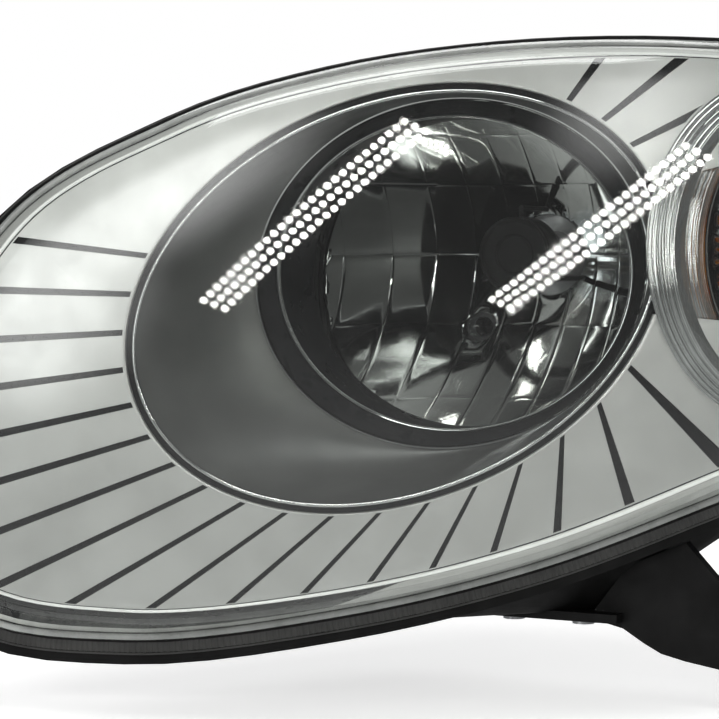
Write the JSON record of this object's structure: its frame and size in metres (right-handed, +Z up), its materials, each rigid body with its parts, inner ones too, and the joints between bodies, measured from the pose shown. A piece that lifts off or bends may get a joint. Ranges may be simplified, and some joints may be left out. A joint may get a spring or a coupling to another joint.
{
  "type": "car headlight",
  "caption": "Swept-back car headlight with a clear domed lens, grooved silver bezel, faceted main reflector, round indicator, levelling drive, rear cap and fixing points.",
  "frame": {"origin": "top of the bore in the upper inner fixing bush", "axes": "+X outboard across the car, +Y towards the rear of the car, +Z up; the light leaves towards -Y"},
  "size_m": [0.4402, 0.3124, 0.2928],
  "materials": {
    "housing_plastic": "black moulded, fine grain",
    "lens_clear": "clear polycarbonate, hard-coated",
    "seal_rubber": "matt black",
    "silver_satin": "satin silver vacuum metallising under lacquer",
    "dark_satin": "dark grey satin metallic",
    "chrome_trim": "bright",
    "black_satin": "dark satin",
    "reflector_chrome": "mirror, faceted",
    "clear_glass": "clear bulb glass",
    "amber_glass": "amber bulb glass",
    "tungsten": "dull wire",
    "bulb_metal": "pressed, satin",
    "contact_brass": "bright contact",
    "shield_black": "black",
    "spring_steel": "drawn wire",
    "black_nylon": "glass-filled nylon",
    "natural_nylon": "natural white",
    "zinc_steel": "zinc plated"
  },
  "bodies": {
    "root": {"housing_shell": "housing_plastic", "lens": "lens_clear", "lens_seal": "seal_rubber", "bezel": "silver_satin", "main_funnel": "dark_satin", "oval_trim": "chrome_trim", "reflector_shroud": "black_satin", "indicator_ring": "silver_satin", "indicator_bowl": "reflector_chrome", "ball_stud": "zinc_steel", "level_motor": "black_nylon", "motor_seal": "seal_rubber", "motor_screws": "zinc_steel", "main_connector": "black_nylon", "connector_pins": "contact_brass", "vent_caps": "seal_rubber", "lower_bracket": "housing_plastic", "bracket_screws": "zinc_steel", "mount_bushes": "zinc_steel"},
    "pivot_cup": {"pivot_cup": "natural_nylon"},
    "reflector": {"main_reflector": "reflector_chrome", "bulb_glass": "clear_glass", "bulb_filaments": "tungsten", "bulb_base": "bulb_metal", "bulb_terminals": "contact_brass", "bulb_plug": "black_nylon", "bulb_shield": "shield_black", "clip_pivot": "zinc_steel", "level_socket": "natural_nylon", "side_socket": "natural_nylon"},
    "bulb_clip": {"bulb_clip": "spring_steel"},
    "sidelight": {"sidelight_bulb": "clear_glass", "sidelight_holder": "black_nylon"},
    "level_rod": {"level_rod": "natural_nylon"},
    "level_gear": {"level_gear": "natural_nylon"},
    "tilt_adjuster": {"tilt_adjuster": "natural_nylon"},
    "side_slider": {"side_slider": "natural_nylon"},
    "side_screw": {"side_screw": "zinc_steel"},
    "main_cap": {"main_cap": "housing_plastic", "cap_seal": "seal_rubber"},
    "indicator": {"indicator_bulb": "amber_glass", "indicator_bulb_base": "bulb_metal", "indicator_holder": "black_nylon", "indicator_seal": "seal_rubber"}
  },
  "joints": [
    {"name": "aim_side", "type": "hinge", "parent": "root", "child": "pivot_cup", "pos_m": [0.114, -0.094, -0.024], "axis": [0, 0, 1], "range_deg": [-2, 2]},
    {"name": "aim_tilt", "type": "hinge", "parent": "pivot_cup", "child": "reflector", "pos_m": [0.114, -0.094, -0.024], "axis": [1, 0, 0], "range_deg": [-1.5, 3]},
    {"name": "level_rod_slide", "type": "slide", "parent": "root", "child": "level_rod", "axis": [0, 1, 0], "range_m": [-0.0035, 0.0068]},
    {"name": "level_gear_spin", "type": "hinge", "parent": "root", "child": "level_gear", "pos_m": [0.114, -0.004, -0.152], "axis": [0, 1, 0], "range_deg": [-205, 405]},
    {"name": "tilt_adjuster_spin", "type": "hinge", "parent": "root", "child": "tilt_adjuster", "pos_m": [0.133, 0.006, -0.13], "axis": [0, 0, 1], "range_deg": [-405, 205]},
    {"name": "side_slider_slide", "type": "slide", "parent": "root", "child": "side_slider", "axis": [0, 1, 0], "range_m": [-0.0043, 0.0043]},
    {"name": "side_screw_spin", "type": "hinge", "parent": "root", "child": "side_screw", "pos_m": [-0.006, -0.014, -0.024], "axis": [0, 1, 0], "range_deg": [-255, 255]},
    {"name": "bulb_clip_swing", "type": "hinge", "parent": "reflector", "child": "bulb_clip", "pos_m": [0.068, -0.064, -0.053], "axis": [1, 0, 0], "range_deg": [0, 60]},
    {"name": "sidelight_pull", "type": "slide", "parent": "reflector", "child": "sidelight", "axis": [0, 1, 0], "range_m": [0, 0.015]},
    {"name": "main_cap_twist", "type": "hinge", "parent": "root", "child": "main_cap", "pos_m": [0.068, -0.004, -0.082], "axis": [0, 1, 0], "range_deg": [0, 40]},
    {"name": "indicator_twist", "type": "hinge", "parent": "root", "child": "indicator", "pos_m": [0.192, -0.009, -0.08], "axis": [0, 1, 0], "range_deg": [0, 45]}
  ],
  "couplings": [
    {"joint": "level_rod_slide", "follows": "aim_tilt", "m_per_rad": 0.128},
    {"joint": "level_gear_spin", "follows": "aim_tilt", "ratio": 134.04},
    {"joint": "tilt_adjuster_spin", "follows": "aim_tilt", "ratio": -134.04},
    {"joint": "side_slider_slide", "follows": "aim_side", "m_per_rad": -0.12},
    {"joint": "side_screw_spin", "follows": "aim_side", "ratio": -125.66}
  ]
}
